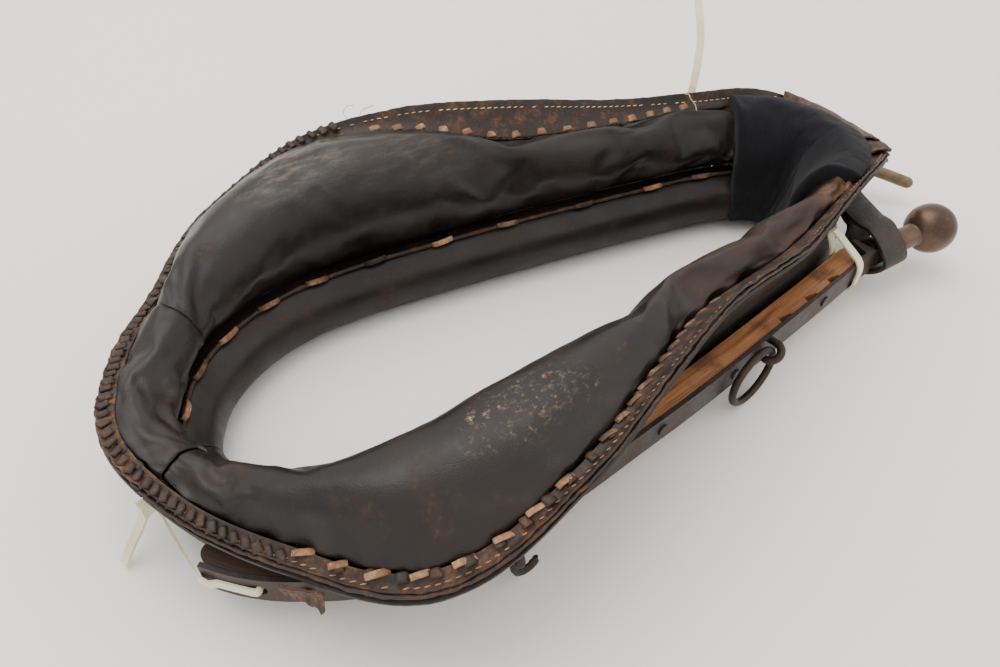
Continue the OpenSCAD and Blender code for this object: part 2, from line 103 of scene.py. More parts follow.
class Finish:
    def __init__(self, name):
        self.mat = bpy.data.materials.new(name)
        self.mat.use_nodes = True
        self.tree = self.mat.node_tree
        self.tree.nodes.clear()
        self.coords = None

    # settings are set before the sockets are filled
    def node(self, kind, settings=None, sockets=None, out=0):
        n = self.tree.nodes.new("ShaderNode" + kind)
        for k, v in (settings or {}).items():
            if k == "stops":
                ramp = n.color_ramp
                while len(ramp.elements) < len(v):
                    ramp.elements.new(0.5)
                for e, (at, colour) in zip(ramp.elements, v):
                    e.position = at
                    e.color = (*colour, 1.0) if len(colour) == 3 else colour
            else:
                setattr(n, k, v)
        for k, v in (sockets or {}).items():
            if isinstance(v, Sock):
                self.tree.links.new(v.out, n.inputs[k])
            elif isinstance(v, tuple) and len(v) == 3 and n.inputs[k].type == "RGBA":
                n.inputs[k].default_value = (*v, 1.0)
            else:
                n.inputs[k].default_value = v
        return Sock(self.tree, n.outputs[out])

    def place(self, kind="Object"):
        if self.coords is None:
            self.coords = self.tree.nodes.new("ShaderNodeTexCoord")
        return Sock(self.tree, self.coords.outputs[kind])

    def turned(self, vector, scale=(1, 1, 1), turn=(0, 0, 0), shift=(0, 0, 0)):
        return self.node("Mapping", None, {"Vector": vector, "Scale": scale,
                                           "Rotation": turn, "Location": shift})

    def noise(self, vector, scale, detail=3.0, rough=0.55, warp=0.0):
        return self.node("TexNoise", None, {"Vector": vector, "Scale": scale, "Detail": detail,
                                            "Roughness": rough, "Distortion": warp})

    def cells(self, vector, scale, feature="F1", out=0):
        return self.node("TexVoronoi", {"feature": feature}, {"Vector": vector, "Scale": scale},
                         out)

    def spread(self, value, low, high, to0=0.0, to1=1.0):
        return self.node("MapRange", {"interpolation_type": "SMOOTHSTEP"},
                         {"Value": value, "From Min": low, "From Max": high,
                          "To Min": to0, "To Max": to1})

    # soft round patch about a point of the object, squeezed by scale
    def patch(self, centre, scale, near, far):
        moved = self.node("VectorMath", {"operation": "SUBTRACT"}, {0: self.place(), 1: centre})
        shaped = self.node("VectorMath", {"operation": "MULTIPLY"}, {0: moved, 1: scale})
        return self.spread(self.node("VectorMath", {"operation": "LENGTH"}, {0: shaped}, 1),
                           near, far, 1.0, 0.0)

    def split(self, vector, k):
        return self.node("SeparateXYZ", None, {0: vector}, k)

    def ramp(self, value, stops):
        return self.node("ValToRGB", {"stops": stops}, {0: value})

    def mix(self, factor, a, b, way="MIX"):
        return self.node("Mix", {"data_type": "RGBA", "blend_type": way},
                         {0: factor, 6: a, 7: b}, 2)

    def bump(self, height, strength, depth, under=None):
        sockets = {"Height": height, "Strength": strength, "Distance": depth}
        if under is not None:
            sockets["Normal"] = under
        return self.node("Bump", None, sockets)

    def done(self, **sockets):
        names = {"base": "Base Color", "rough": "Roughness", "metal": "Metallic",
                 "normal": "Normal", "coat": "Coat Weight", "coatRough": "Coat Roughness",
                 "sheen": "Sheen Weight", "sheenRough": "Sheen Roughness", "ior": "IOR",
                 "alpha": "Alpha", "subsurface": "Subsurface Weight",
                 "subsurfaceScale": "Subsurface Scale", "specular": "Specular IOR Level",
                 "transmission": "Transmission Weight"}
        shader = self.node("BsdfPrincipled", None, {names[k]: v for k, v in sockets.items()})
        self.output(shader)
        return self.mat

    def output(self, shader):
        n = self.tree.nodes.new("ShaderNodeOutputMaterial")
        self.tree.links.new(shader.out, n.inputs["Surface"])


# the finishes
leatherLook = {"base": (0.0060, 0.0046, 0.0040), "light": (0.0150, 0.0100, 0.0078),
               "red": (0.048, 0.019, 0.010), "tan": (0.235, 0.105, 0.045),
               "dust": (0.245, 0.200, 0.155), "mould": (0.50, 0.41, 0.29),
               "rough": 0.40, "grain": 900.0, "grainDepth": 0.00035}


# Old harness leather: black, polished by use, brown where it has rubbed through
def coverLeather(name, look, wear=0.0, marks=()):
    f = Finish(name)
    p = f.place()
    broad = f.noise(p, 7.0, 4.0, 0.6)
    mid = f.noise(p, 38.0, 5.0, 0.62)
    fine = f.noise(p, 260.0, 4.0, 0.65)
    colour = f.mix(f.spread(broad, 0.38, 0.70), look["base"], look["light"])
    colour = f.mix(f.spread(mid, 0.50, 0.78) * (0.25 + wear), colour, look["red"])
    colour = f.mix(f.spread(fine * 0.5 + mid * 0.5, 0.56, 0.74) * (0.10 + 0.5 * wear),
                   colour, look["tan"])
    rough = f.spread(mid, 0.25, 0.80, look["rough"] - 0.08, look["rough"] + 0.16)
    lift = None
    for m in marks:
        area = f.patch(m["at"], m["squeeze"], m["near"], m["far"])
        if m["kind"] == "mould":   # pale crust broken up into specks
            speck = f.spread(f.noise(p, 210.0, 6.0, 0.75), 0.60 - 0.10 * m["amount"], 0.68)
            blot = f.spread(f.noise(p, 62.0, 5.0, 0.7), 0.50, 0.60)
            mask = (area * speck * (0.35 + blot)).clip() * m["amount"]
            tint = f.mix(f.noise(p, 150.0), look["mould"], look["tan"])
            lift = mask if lift is None else lift + mask
        elif m["kind"] == "dust":
            streak = f.noise(f.turned(p, (1.0, 3.0, 3.0), (0, 0, m.get("turn", 0.0))),
                             46.0, 6.0, 0.72)
            mask = (area * f.spread(streak, 0.42, 0.74)).clip() * m["amount"]
            tint = look["dust"]
        else:                      # rubbed through to brown
            rub = f.spread(f.noise(p, 55.0, 6.0, 0.7), 0.38, 0.66)
            mask = (area * (0.25 + 0.75 * rub)).clip() * m["amount"]
            tint = look["tan"] if m["kind"] == "tan" else look["red"]
        colour = f.mix(mask, colour, tint)
        rough = (rough + mask * 0.22).clip()
    grain = f.cells(f.turned(p, (1.0, 1.0, 1.0)), look["grain"], "SMOOTH_F1")
    crease = f.cells(f.turned(p, (1.0, 1.0, 1.3)), 62.0, "DISTANCE_TO_EDGE")
    cracks = f.spread(crease, 0.0, 0.03) * 0.16 + f.noise(p, 120.0, 5.0, 0.6)
    normal = f.bump(grain, 0.32, look["grainDepth"])
    normal = f.bump(cracks, 0.28, 0.0007, normal)
    if lift is not None:
        normal = f.bump(lift, 0.6, 0.0009, normal)
    return f.done(base=colour, rough=rough, normal=normal, specular=0.34)


# Leather of the rim, laces and straps: drier and browner, with frayed pale edges
def edgeLeather(name, dark, brown, pale, share, rough=0.62, stretch=(1, 1, 1)):
    f = Finish(name)
    p = f.place()
    a = f.noise(f.turned(p, stretch), 90.0, 6.0, 0.68)
    b = f.noise(p, 420.0, 4.0, 0.7)
    c = f.noise(p, 14.0, 3.0)
    colour = f.mix(f.spread(a, 0.36, 0.62) * (0.35 + f.spread(c, 0.35, 0.65) * 0.65), dark, brown)
    colour = f.mix(f.spread(a * 0.6 + b * 0.4, 0.50, 0.66) * share, colour, pale)
    normal = f.bump(b, 0.45, 0.0005)
    normal = f.bump(a, 0.5, 0.0011, normal)
    return f.done(base=colour, rough=f.spread(a, 0.3, 0.7, rough - 0.12, rough + 0.14),
                  normal=normal, specular=0.35)


def threadFinish(name, colour, dark):
    f = Finish(name)
    p = f.place()
    a = f.noise(p, 700.0, 4.0, 0.7)
    b = f.noise(p, 45.0, 3.0)
    c = f.mix(f.spread(a * 0.5 + b * 0.5, 0.40, 0.60), dark, colour)
    return f.done(base=c, rough=0.8, normal=f.bump(a, 0.6, 0.0003), specular=0.25)


# Black woollen felt with a faint blue cast, fibres laid every way
def feltFinish(name):
    f = Finish(name)
    p = f.place()
    a = f.noise(f.turned(p, (1, 4, 1), (0.3, 0.2, 0.8)), 520.0, 5.0, 0.7, 1.5)
    b = f.noise(f.turned(p, (4, 1, 1), (0.1, 0.6, 0.3)), 480.0, 5.0, 0.7, 1.5)
    c = f.noise(p, 26.0, 4.0)
    colour = f.mix(f.spread(a * 0.5 + b * 0.5, 0.42, 0.62), (0.0035, 0.0036, 0.0048),
                   (0.0105, 0.0108, 0.0135))
    colour = f.mix(f.spread(c, 0.52, 0.75) * 0.35, colour, (0.016, 0.015, 0.016))
    return f.done(base=colour, rough=0.93, normal=f.bump(a + b, 0.55, 0.0006),
                  specular=0.15, sheen=0.05, sheenRough=0.6)


# Ash: long open pores along the grain, patchy dark stains, and darker towards its throat end
def ashFinish(name):
    f = Finish(name)
    p = f.place("UV")
    long = f.turned(p, (1.0, 22.0, 1.0))
    ring = f.noise(long, 9.0, 5.0, 0.6, 0.35)
    pore = f.noise(f.turned(p, (3.0, 150.0, 1.0)), 10.0, 4.0, 0.7)
    stain = f.noise(f.place(), 22.0, 4.0, 0.6)
    colour = f.ramp(ring, [(0.30, (0.150, 0.050, 0.014)), (0.46, (0.300, 0.120, 0.042)),
                           (0.60, (0.400, 0.185, 0.072)), (0.75, (0.250, 0.095, 0.034))])
    colour = f.mix(f.spread(pore, 0.52, 0.66) * 0.75, colour, (0.060, 0.020, 0.007))
    colour = f.mix(f.spread(stain, 0.48, 0.72) * 0.8, colour, (0.045, 0.018, 0.008))
    # the wood is darkened by position towards its throat end (low x), where it runs under the rim
    throatEndDark = f.spread(f.split(f.place(), 0) + 0.05 * stain, -0.20, 0.02, 0.93, 0.0)
    colour = f.mix(throatEndDark, colour, (0.016, 0.010, 0.007))
    normal = f.bump(pore, 0.5, 0.0005)
    normal = f.bump(ring, 0.35, 0.0008, normal)
    return f.done(base=colour, rough=f.spread(stain, 0.3, 0.7, 0.52, 0.72), normal=normal,
                  specular=0.35)


# Forged iron: brown-grey skin, rust in the hollows, bright rubbed streaks
def ironFinish(name, skin, rust, bright, shine=0.35):
    f = Finish(name)
    p = f.place()
    a = f.noise(p, 48.0, 6.0, 0.66)
    b = f.noise(p, 300.0, 5.0, 0.7)
    c = f.noise(p, 16.0, 3.0)
    colour = f.mix(f.spread(a, 0.42, 0.66), skin, rust)
    colour = f.mix(f.spread(b * 0.5 + c * 0.5, 0.54, 0.66) * shine, colour, bright)
    metal = f.spread(a, 0.35, 0.70, 0.85, 0.30)
    rough = f.spread(a * 0.6 + b * 0.4, 0.35, 0.65, 0.40, 0.70)
    normal = f.bump(b, 0.4, 0.0004)
    normal = f.bump(a, 0.4, 0.0008, normal)
    return f.done(base=colour, rough=rough, metal=metal, normal=normal)


def ballFinish(name):
    f = Finish(name)
    p = f.place()
    a = f.noise(p, 30.0, 6.0, 0.6)
    b = f.noise(p, 420.0, 4.0, 0.7)
    pits = f.spread(f.cells(p, 260.0), 0.05, 0.16)
    colour = f.mix(f.spread(a, 0.35, 0.68), (0.115, 0.070, 0.044), (0.055, 0.030, 0.020))
    colour = f.mix((1 - pits) * 0.8, colour, (0.020, 0.012, 0.009))
    colour = f.mix(f.spread(b, 0.56, 0.72) * 0.35, colour, (0.20, 0.13, 0.085))
    normal = f.bump(pits, 0.35, 0.0004)
    normal = f.bump(b, 0.18, 0.0003, normal)
    return f.done(base=colour, rough=f.spread(a, 0.3, 0.7, 0.30, 0.44), metal=0.65,
                  normal=normal)


def nylonFinish(name):
    f = Finish(name)
    p = f.place()
    a = f.noise(p, 25.0, 4.0)
    colour = f.mix(f.spread(a, 0.35, 0.7), (0.72, 0.69, 0.47), (0.58, 0.54, 0.33))
    ribs = f.noise(p, 900.0, 2.0)
    return f.done(base=colour, rough=0.38, normal=f.bump(ribs, 0.25, 0.0003), specular=0.5,
                  subsurface=0.35, subsurfaceScale=0.004)


def oliveBrass(name):
    f = Finish(name)
    p = f.place()
    a = f.noise(p, 60.0, 5.0, 0.65)
    b = f.noise(p, 420.0, 4.0)
    colour = f.mix(f.spread(a, 0.35, 0.66), (0.165, 0.120, 0.062), (0.075, 0.052, 0.030))
    colour = f.mix(f.spread(b, 0.55, 0.7) * 0.4, colour, (0.26, 0.20, 0.12))
    return f.done(base=colour, rough=f.spread(a, 0.3, 0.7, 0.40, 0.56), metal=0.55,
                  normal=f.bump(b, 0.3, 0.0003))


farMarks = [
    {"kind": "dust", "at": (-0.175, 0.165, 0.138), "squeeze": (0.9, 1.2, 1.0),
     "near": 0.006, "far": 0.070, "amount": 0.55, "turn": 0.4},
    {"kind": "dust", "at": (-0.07, 0.140, 0.138), "squeeze": (0.7, 1.6, 1.0),
     "near": 0.005, "far": 0.090, "amount": 0.16, "turn": 0.2}]
nearMarks = [
    {"kind": "red", "at": (0.150, -0.085, 0.118), "squeeze": (0.42, 1.3, 1.0),
     "near": 0.012, "far": 0.075, "amount": 0.60},
    {"kind": "tan", "at": (0.215, -0.075, 0.116), "squeeze": (0.55, 1.5, 1.0),
     "near": 0.004, "far": 0.030, "amount": 0.75},
    {"kind": "mould", "at": (-0.150, -0.150, 0.137), "squeeze": (0.80, 1.7, 1.0),
     "near": 0.010, "far": 0.050, "amount": 1.0},
    {"kind": "red", "at": (0.060, -0.105, 0.125), "squeeze": (0.5, 1.3, 1.0),
     "near": 0.010, "far": 0.080, "amount": 0.40},
    {"kind": "mould", "at": (-0.305, -0.150, 0.110), "squeeze": (1.0, 1.0, 1.0),
     "near": 0.001, "far": 0.009, "amount": 0.8}]
finishes = {
    "bodyFar": coverLeather("leather_body_far", leatherLook, 0.02, farMarks),
    "bodyNear": coverLeather("leather_body_near", leatherLook, 0.06, nearMarks),
    "throat": coverLeather("leather_throat", leatherLook, 0.03),
    "roll": coverLeather("leather_front_roll", dict(leatherLook, rough=0.44), 0.03),
    "side": edgeLeather("leather_side", (0.012, 0.009, 0.008), (0.032, 0.019, 0.013),
                        (0.10, 0.055, 0.03), 0.25, 0.55),
    "rim": edgeLeather("leather_rim", (0.015, 0.010, 0.008), (0.052, 0.025, 0.013),
                       (0.20, 0.105, 0.05), 0.38, 0.56),
    "rimWorn": edgeLeather("leather_rim_worn", (0.030, 0.016, 0.010), (0.105, 0.050, 0.024),
                           (0.30, 0.17, 0.09), 0.60, 0.66),
    "thong": edgeLeather("leather_thong", (0.150, 0.070, 0.030), (0.335, 0.180, 0.090),
                         (0.52, 0.34, 0.20), 0.75, 0.70),
    "thongDull": edgeLeather("leather_thong_dull", (0.060, 0.030, 0.015), (0.170, 0.090, 0.045),
                             (0.36, 0.22, 0.12), 0.6, 0.70),
    "strap": edgeLeather("leather_strap", (0.014, 0.010, 0.009), (0.036, 0.021, 0.015),
                         (0.12, 0.07, 0.04), 0.25, 0.50),
    "cap": edgeLeather("leather_cap", (0.022, 0.012, 0.008), (0.085, 0.042, 0.021),
                       (0.27, 0.155, 0.08), 0.55, 0.74),
    "cream": threadFinish("thread_cream", (0.62, 0.50, 0.33), (0.33, 0.22, 0.12)),
    "orange": threadFinish("thread_tan", (0.40, 0.20, 0.085), (0.15, 0.07, 0.03)),
    "felt": feltFinish("felt_black"),
    "ash": ashFinish("ash_wood"),
    "iron": ironFinish("iron_plate", (0.060, 0.052, 0.048), (0.052, 0.027, 0.016),
                       (0.20, 0.18, 0.17)),
    "darkIron": ironFinish("iron_dark", (0.034, 0.026, 0.022), (0.052, 0.026, 0.015),
                           (0.13, 0.11, 0.10), 0.2),
    "ball": ballFinish("bronze_ball"),
    "brass": oliveBrass("brass_rod"),
    "nylon": nylonFinish("nylon_tie"),
    "twine": threadFinish("twine_jute", (0.50, 0.40, 0.26), (0.28, 0.20, 0.12)),
}
print("finishes mixed:", len(finishes))


# lines of the collar
# one row per station round half of the collar, throat to top, in mm: seam x, seam y,
# rim out, rim height, lacing out, lacing height, crest height, crest out, inner bulge
halfRows = [
    [-328, 0, 40, 95, 28, 91, 94, 12, 7], [-309, 52, 43, 88, 31, 85, 97, 14, 8],
    [-270, 89, 58, 81, 46, 82, 111, 23, 10], [-215, 111, 95, 91, 83, 92, 128, 36, 13],
    [-150, 114, 94, 127, 82, 122, 141, 38, 14], [-70, 105, 76, 144, 60, 128, 137, 26, 13],
    [14, 93, 56, 142, 34, 114, 127, 12, 11], [117, 75, 48, 124, 31, 105, 121, 10, 10],
    [190, 61, 35, 122, 25, 108, 118, 9, 9], [238, 42, 38, 119, 26, 106, 114, 9, 9],
    [259, 19, 60, 98, 32, 100, 111, 10, 8], [264, 0, 80, 78, 36, 96, 109, 10, 8]]
topS = len(halfRows) - 1
loopS = 2 * topS
farCut, nearCut = 1.6, loopS - 0.6
rollR = (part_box("roll_far")[1].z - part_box("roll_far")[0].z) / 2 / mm
lowZ = 2 * rollR + 4
rollLow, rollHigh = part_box("roll_far")[0].x / mm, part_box("roll_far")[1].x / mm
shiftX = (rollLow + rollHigh) / 2 - (halfRows[0][0] + halfRows[-1][0]) / 2


def rowAt(i):
    k = i % loopS
    if k <= topS:
        return halfRows[k]
    r = list(halfRows[loopS - k])
    r[1] = -r[1]
    return r


def blend4(a, b, c, d, t):
    return 0.5 * (2 * b + (c - a) * t + (2 * a - 5 * b + 4 * c - d) * t * t
                  + (3 * b - a - 3 * c + d) * t * t * t)


def station(s):
    i = math.floor(s)
    rows = [rowAt(i + k) for k in (-1, 0, 1, 2)]
    return [blend4(*[r[j] for r in rows], s - i) for j in range(9)]


def outward(s):
    a, b = station(s - 0.02), station(s + 0.02)
    d = Vector((b[0] - a[0], b[1] - a[1])).normalized()
    return Vector((-d.y, d.x, 0))


def spot(s, u, z):
    r = station(s)
    return (Vector((r[0] + shiftX, r[1], z)) + outward(s) * u) * mm


def smoothPath(points, n, closed=False):
    m = len(points)
    out = []
    for i in range(m if closed else m - 1):
        pick = [(i + k) % m if closed else min(max(i + k, 0), m - 1) for k in (-1, 0, 1, 2)]
        a, b, c, d = [points[j] for j in pick]
        out += [tuple(blend4(a[q], b[q], c[q], d[q], t / n) for q in range(len(a)))
                for t in range(n)]
    return out if closed else out + [tuple(points[-1])]


def steps(a, b, n):
    return [a + (b - a) * i / n for i in range(n + 1)]


def shiftLine(line, d):
    out = []
    for i, p in enumerate(line):
        a, b = line[max(i - 1, 0)], line[min(i + 1, len(line) - 1)]
        t = Vector((b[0] - a[0], b[1] - a[1])).normalized()
        out.append((p[0] + d * t.y, p[1] - d * t.x))
    return out


# mesh helpers
def newPiece(name, points, faces, finish, uv=None):
    mesh = bpy.data.meshes.new(name)
    mesh.from_pydata([tuple(p) for p in points], [], faces)
    mesh.update()
    piece = bpy.data.objects.new(name, mesh)
    bpy.context.scene.collection.objects.link(piece)
    mesh.materials.append(finishes[finish])
    if uv is not None:
        layer = mesh.uv_layers.new(name="run")
        for loop in mesh.loops:
            layer.data[loop.index].uv = uv[loop.vertex_index]
    mesh.polygons.foreach_set("use_smooth", [True] * len(mesh.polygons))
    return piece


# Surface through rings of points; the uv runs in metres along and round
def skin(name, rings, finish, closedRing=True, closedRun=False, caps=False):
    n, m = len(rings), len(rings[0])
    points = [p for r in rings for p in r]
    faces = []
    for i in range(n if closedRun else n - 1):
        for k in range(m if closedRing else m - 1):
            a, b = i * m + k, i * m + (k + 1) % m
            c, d = ((i + 1) % n) * m + k, ((i + 1) % n) * m + (k + 1) % m
            faces.append((a, b, d, c))
    if caps:
        faces.append(tuple(range(m - 1, -1, -1)))
        faces.append(tuple((n - 1) * m + k for k in range(m)))
    run, uv = 0.0, []
    for i, r in enumerate(rings):
        if i:
            run += (Vector(r[0]) - Vector(rings[i - 1][0])).length
        turn = 0.0
        for k, p in enumerate(r):
            if k:
                turn += (Vector(p) - Vector(r[k - 1])).length
            uv.append((run, turn))
    return newPiece(name, points, faces, finish, uv)


def only(piece):
    bpy.ops.object.select_all(action="DESELECT")
    piece.hide_set(False)
    piece.select_set(True)
    bpy.context.view_layer.objects.active = piece


def outsideOut(piece):
    only(piece)
    bpy.ops.object.mode_set(mode="EDIT")
    bpy.ops.mesh.select_all(action="SELECT")
    bpy.ops.mesh.normals_make_consistent(inside=False)
    bpy.ops.mesh.select_all(action="DESELECT")
    bpy.ops.object.mode_set(mode="OBJECT")


def withModifier(piece, kind, **settings):
    only(piece)
    m = piece.modifiers.new(kind.lower(), kind)
    for k, v in settings.items():
        setattr(m, k, v)
    bpy.ops.object.modifier_apply(modifier=m.name)
    return piece


def subdivided(piece, levels=1):
    return withModifier(piece, "SUBSURF", levels=levels, render_levels=levels)


def joined(name, pieces):
    bpy.ops.object.select_all(action="DESELECT")
    for p in pieces:
        p.select_set(True)
    bpy.context.view_layer.objects.active = pieces[0]
    bpy.ops.object.join()
    pieces[0].name = name
    pieces[0].data.name = name
    return pieces[0]


def hashed(*values):
    return noise.noise(Vector((values[0] * 1.37 + 5.1, (values[1] if len(values) > 1 else 0) * 2.11
                               + 1.7, (values[2] if len(values) > 2 else 0) * 1.73 + 9.3)))


# body of the collar
body = {"around": 6, "alongStep": 0.07, "pressure": 4.0, "cap": 0.005, "frames": 18,
        "slack": 0.025, "pucker": 0.0011, "thongEvery": 0.34}


def bodyOutline(s, n, d=0.0):
    r = station(s)
    h = r[6]
    p = [(3, lowZ), (-r[8], lowZ + 0.42 * (h - lowZ)),
         (0.2 * r[7] - 0.25 * r[8], h - 0.16 * (h - lowZ)), (r[7], h),
         (0.62 * r[4] + 0.38 * r[7], 0.55 * h + 0.45 * r[5]), (r[4], r[5]),
         (0.66 * r[4] + 3, 0.35 * r[5] + 0.65 * lowZ), (17, lowZ)]
    line = smoothPath(p, n, True)
    m = len(line)
    out = []
    for i, q in enumerate(line):
        a, b = line[i - 1], line[(i + 1) % m]
        t = Vector((b[0] - a[0], b[1] - a[1])).normalized()
        out.append((q[0] + d * t.y, q[1] - d * t.x))
    return out


bodyRuns = steps(0, loopS, round(loopS / body["alongStep"]))[:-1]
bodyRings = [[spot(s, u, z) for u, z in bodyOutline(s, body["around"], 1.2)] for s in bodyRuns]
aroundCount = len(bodyRings[0])
bodySkin = skin("bodySkin", bodyRings, "bodyFar", closedRun=True)
outsideOut(bodySkin)


cloth = {"quality": 5, "mass": 0.3, "stiffness": 25, "shear": 10, "bending": 1.5}


def swell(piece, pins, settings):
    rest = [v.co.copy() for v in piece.data.vertices]
    group = piece.vertex_groups.new(name="pin")
    for index, weight in pins.items():
        group.add([index], weight, "REPLACE")
    only(piece)
    m = piece.modifiers.new("cloth", "CLOTH")
    c = m.settings
    c.quality = cloth["quality"]
    c.mass = cloth["mass"]
    c.tension_stiffness = c.compression_stiffness = cloth["stiffness"]
    c.shear_stiffness = cloth["shear"]
    c.bending_stiffness = settings.get("bending", cloth["bending"])
    c.use_pressure = True
    c.uniform_pressure_force = settings["pressure"]
    c.shrink_min = -settings["slack"]
    c.effector_weights.gravity = 0
    c.vertex_group_mass = "pin"
    m.collision_settings.use_collision = False
    m.point_cache.frame_start, m.point_cache.frame_end = 1, settings["frames"]
    for f in range(1, settings["frames"] + 1):
        bpy.context.scene.frame_set(f)
    bpy.ops.object.modifier_apply(modifier=m.name)
    bpy.context.scene.frame_set(1)
    for v, r in zip(piece.data.vertices, rest):
        move = v.co - r
        if move.length > settings["cap"]:
            v.co = r + move.normalized() * settings["cap"]
    piece.data.update()
    return piece


def bodyPins():
    pins = {}
    n = body["around"]
    for i, s in enumerate(bodyRuns):
        onThong = abs((s / body["thongEvery"]) % 1 - 0.5) > 0.36
        atCut = min(abs(s - farCut), abs(s - nearCut), abs(s - topS)) < 0.05
        for k in range(aroundCount):
            low = k in (0, aroundCount - 1) or k > 6 * n
            if low or (k == 5 * n and onThong) or (atCut and k % 3 == 0):
                pins[i * aroundCount + k] = 1.0
    return pins


swell(bodySkin, bodyPins(), body)
print("body padding swelled")

bodyPoints = [v.co.copy() for v in bodySkin.data.vertices]
bodyNormals = [v.normal.copy() for v in bodySkin.data.vertices]
bpy.data.objects.remove(bodySkin)


# puckers that run from the lacing, creases across the throat, slow lumps of the straw
def bodyRelief(s, k):
    n = body["around"]
    toLace = abs(k - 5 * n) / n
    fold = math.cos(2 * math.pi * s / body["thongEvery"]) * math.exp(-toLace * 2.2)
    lump = 0.0014 * hashed(s * 1.6, k * 0.11)
    cross = 0.0
    throatShare = max(0.0, 1 - abs((s + topS) % loopS - topS - 0.5) / 1.5)
    if throatShare > 0:
        cross = 0.0007 * throatShare * hashed(s * 14.0, k * 0.16) \
            + 0.0005 * throatShare * hashed(s * 31.0, k * 0.3)
    cross += 0.00045 * hashed(s * 9.0 + 40, k * 0.10)
    return body["pucker"] * fold + lump + cross


def bodyCover(name, a, b, finish, lift=0.0, lip=0.0):
    picked = [i for i in range(-30, len(bodyRuns) + 30)
              if a <= (i * loopS / len(bodyRuns)) <= b]
    rings = []
    for j, i in enumerate(picked):
        w = i % len(bodyRuns)
        s = bodyRuns[w]
        edge = min(j, len(picked) - 1 - j)
        ring = []
        for k in range(aroundCount):
            q = w * aroundCount + k
            rise = lift + bodyRelief(s, k) + (lip if edge == 0 else 0)
            ring.append(bodyPoints[q] + bodyNormals[q] * rise)
        rings.append(ring)
    piece = skin(name, rings, finish)
    outsideOut(piece)
    withModifier(piece, "SOLIDIFY", thickness=0.0022, offset=-1)
    return subdivided(piece)


bodyFar = bodyCover("bodyFarCover", farCut - 0.02, topS - 0.02, "bodyFar", -0.0006)
bodyNear = bodyCover("bodyNearCover", topS + 0.02, nearCut + 0.02, "bodyNear", -0.0006)
bodyThroat = bodyCover("bodyThroatCover", -0.64, farCut + 0.05, "throat", 0.0012, -0.0008)
for piece, nodes in ((bodyFar, ["body_far", "body_stuffing"]), (bodyNear, ["body_near"]),
                     (bodyThroat, ["body_throat"])):
    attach(piece, "collar")
    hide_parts(*nodes)
print("body covers stitched")

# front roll
roll = {"around": 28, "alongStep": 0.07, "thick": 0.0022, "seamDip": 0.0016}


def rollRing(s):
    ring = []
    for k in range(roll["around"]):
        a = -2 * math.pi * k / roll["around"]
        up = math.degrees(math.atan2(math.sin(a), math.cos(a)))
        dip = roll["seamDip"] * math.exp(-((up - 128) / 9) ** 2) / mm
        r = rollR - dip + 0.5 * hashed(s * 1.3, k * 0.35) + 0.25 * hashed(s * 9, k * 0.5)
        ring.append(spot(s, 1 + r * math.cos(a), max(rollR + r * math.sin(a), 0.15)))
    return ring


def rollCover(name, a, b, nodes):
    piece = skin(name, [rollRing(s) for s in steps(a, b, round((b - a) / roll["alongStep"]))],
                 "roll")
    outsideOut(piece)
    withModifier(piece, "SOLIDIFY", thickness=roll["thick"], offset=-1)
    subdivided(piece)
    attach(piece, "collar")
    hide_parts(*nodes)
    return piece


rollCover("rollFarCover", 0.005, topS - 0.005, ["roll_far", "roll_stuffing"])
rollCover("rollNearCover", topS + 0.005, loopS - 0.005, ["roll_near"])
print("front roll covered")


# a round cord or thread along a line of points
def sweptTube(name, line, radius, finish, sides=8, closed=False):
    line = [Vector(p) for p in line]
    rings = []
    n = len(line)
    for i, p in enumerate(line):
        a = line[i - 1] if closed or i else line[i]
        b = line[(i + 1) % n] if closed or i < n - 1 else line[i]
        t = (b - a).normalized()
        side = t.cross(Vector((0, 0, 1)))
        side = side.normalized() if side.length > 0.05 else Vector((1, 0, 0))
        up = side.cross(t)
        r = radius(i / n) if callable(radius) else radius
        rings.append([p + side * r * math.cos(q) + up * r * math.sin(q)
                      for q in (2 * math.pi * k / sides for k in range(sides))])
    piece = skin(name, rings, finish, closedRun=closed, caps=not closed)
    outsideOut(piece)
    return piece


# cord sewn between the body and the front roll
welt = sweptTube("seamWelt", [spot(s, -5.6, lowZ - 2.6) for s in steps(0, loopS, 440)[:-1]],
                 0.0019, "rim", closed=True)
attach(welt, "collar")

# rim of the collar
rim = {"upper": 1.5, "lower": 1.6, "step": 2.0, "fray": 0.9, "along": 0.045}


def flangeLine(s, grow=0.0):
    r = station(s)
    line = [(r[4] + 0.8, r[5] + 2.0),
            (0.5 * (r[4] + r[2]) + 0.6, 0.5 * (r[5] + r[3]) - 1.0),
            (r[2] - 0.5 + grow, r[3] + 0.2)]
    return smoothPath(line, 4)


# one ply of leather: a thin strip swept along the rim, its free edge worn uneven
def rimPly(name, a, b, grow, drop, thick, finish, fray=1.0):
    rings = []
    for s in steps(a, b, round((b - a) / rim["along"])):
        g = grow + fray * (rim["fray"] * hashed(s * 11, grow) + 0.6 * hashed(s * 37, grow))
        line = [(u, z - drop) for u, z in flangeLine(s, g)]
        under = shiftLine(line, thick)
        wave = 0.5 * hashed(s * 5, 3 + grow)
        ring = line + under[::-1]
        rings.append([spot(s, u, z + wave * min(1, max(0, (u - line[0][0]) / 12)))
                      for u, z in ring])
    piece = skin(name, rings, finish, caps=True)
    outsideOut(piece)
    return withModifier(piece, "BEVEL", width=0.0004, segments=2, limit_method="ANGLE")


